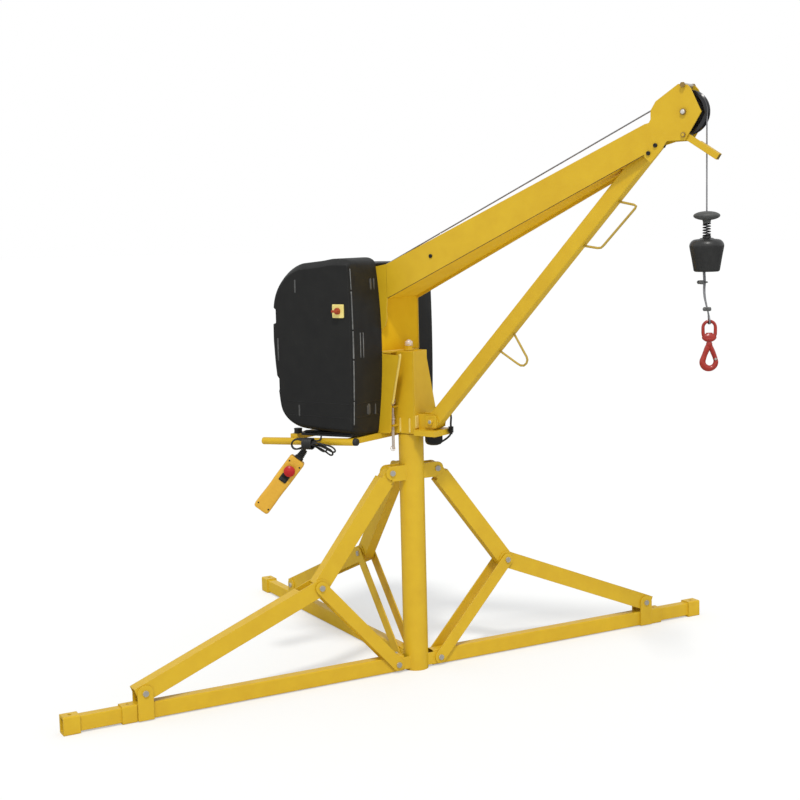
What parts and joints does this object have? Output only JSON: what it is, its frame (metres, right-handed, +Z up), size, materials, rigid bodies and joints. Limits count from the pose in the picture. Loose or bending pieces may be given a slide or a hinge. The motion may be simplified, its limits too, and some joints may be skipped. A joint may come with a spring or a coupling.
{
  "type": "builders hoist",
  "caption": "Swivel boom hoist on a folding three-leg stand, with a covered winch, wire rope over a tip sheave, a rope weight, a red hook and a hanging pendant.",
  "frame": {"origin": "centre of the mast foot on the ground", "axes": "+Z up along the mast, +X along the boom towards its tip, +Y to the left of the boom"},
  "size_m": [2.3954, 2.358, 2],
  "materials": {
    "yellow_paint": "semi-gloss",
    "zinc": "zinc plated",
    "spring_steel": "blackened",
    "wire_rope": "galvanised strands",
    "cover_plastic": "fine texture",
    "black_plastic": "satin",
    "black_rubber": "matt",
    "sheave_iron": "satin black",
    "weight_iron": "black paint",
    "red_paint": "gloss",
    "red_plastic": "gloss",
    "orange_plastic": "satin"
  },
  "bodies": {
    "stand": {"mast": "yellow_paint", "pivot_bolt": "zinc", "leg_pins": "zinc", "right_beam": "yellow_paint", "right_outer_link": "yellow_paint", "right_upper_link": "yellow_paint", "right_struts": "yellow_paint", "left_beam": "yellow_paint", "left_outer_link": "yellow_paint", "left_upper_link": "yellow_paint", "left_struts": "yellow_paint", "rear_beam": "yellow_paint", "rear_outer_link": "yellow_paint", "rear_upper_link": "yellow_paint", "rear_struts": "yellow_paint"},
    "right_foot": {"right_extension": "yellow_paint"},
    "left_foot": {"left_extension": "yellow_paint"},
    "rear_foot": {"rear_extension": "yellow_paint"},
    "head": {"head_tube": "yellow_paint", "front_plate": "yellow_paint", "foot_bracket": "yellow_paint", "boom_arm": "yellow_paint", "boom_bolts": "zinc", "brace": "yellow_paint", "brace_handle": "yellow_paint", "brace_loop": "yellow_paint", "near_cover": "cover_plastic", "far_cover": "cover_plastic", "switch_plate": "yellow_paint", "front_bar": "yellow_paint", "rear_bar": "yellow_paint", "near_tube": "yellow_paint", "far_tube": "yellow_paint", "frame_plugs": "black_rubber", "rubber_feet": "black_rubber", "supply_plugs": "black_plastic", "supply_cable": "black_rubber", "boom_rope": "wire_rope", "drop_rope": "wire_rope", "pendant": "orange_plastic", "hoist_rocker": "black_plastic", "pendant_gland": "black_rubber", "pendant_lead": "black_rubber", "lead_bundle": "black_rubber"},
    "sheave": {"sheave": "sheave_iron"},
    "lever": {"limit_lever": "yellow_paint"},
    "lock": {"lock_pin": "zinc"},
    "knob": {"switch_knob": "red_plastic"},
    "stop": {"stop_button": "red_plastic"},
    "hook_block": {"weight": "weight_iron", "tail_rope": "wire_rope", "rope_clips": "zinc", "hook_swivel": "red_paint"},
    "buffer": {"buffer_disc": "black_rubber", "spring": "spring_steel"},
    "hook": {"hook": "red_paint"}
  },
  "joints": [
    {"name": "slew", "type": "hinge", "parent": "stand", "child": "head", "pos_m": [0, 0, 1], "axis": [0, 0, 1], "continuous": true},
    {"name": "right_foot_slide", "type": "slide", "parent": "stand", "child": "right_foot", "axis": [0.4384, 0.8988, 0], "range_m": [-0.12, 0.12]},
    {"name": "left_foot_slide", "type": "slide", "parent": "stand", "child": "left_foot", "axis": [-0.4384, -0.8988, 0], "range_m": [-0.12, 0.12]},
    {"name": "rear_foot_slide", "type": "slide", "parent": "stand", "child": "rear_foot", "axis": [-0.8988, 0.4384, 0], "range_m": [-0.12, 0.12]},
    {"name": "hoist", "type": "slide", "parent": "head", "child": "hook_block", "axis": [0, 0, 1], "range_m": [-0.95, 0.15], "deforming": ["drop_rope"]},
    {"name": "sheave_spin", "type": "hinge", "parent": "head", "child": "sheave", "pos_m": [1.057, 0, 1.911], "axis": [0, 1, 0], "continuous": true},
    {"name": "lever_lift", "type": "hinge", "parent": "head", "child": "lever", "pos_m": [1.057, 0, 1.842], "axis": [0, -1, 0], "range_deg": [0, 10]},
    {"name": "buffer_squeeze", "type": "slide", "parent": "hook_block", "child": "buffer", "axis": [0, 0, -1], "range_m": [0, 0.02], "stiffness_N_per_m": 1500, "deforming": ["spring"]},
    {"name": "hook_turn", "type": "hinge", "parent": "hook_block", "child": "hook", "pos_m": [1.12555, 0.00459, 1.2], "axis": [0, 0, 1], "continuous": true},
    {"name": "lock_pull", "type": "slide", "parent": "head", "child": "lock", "axis": [0, 0, 1], "range_m": [0, 0.03]},
    {"name": "switch_turn", "type": "hinge", "parent": "head", "child": "knob", "pos_m": [-0.104, -0.28, 1.308], "axis": [0, 1, 0], "range_deg": [0, 90]},
    {"name": "stop_press", "type": "slide", "parent": "head", "child": "stop", "axis": [-0.5793, 0.8151, 0], "range_m": [0, 0.005]}
  ],
  "couplings": [
    {"joint": "sheave_spin", "follows": "hoist", "rad_per_m": -16.129}
  ]
}
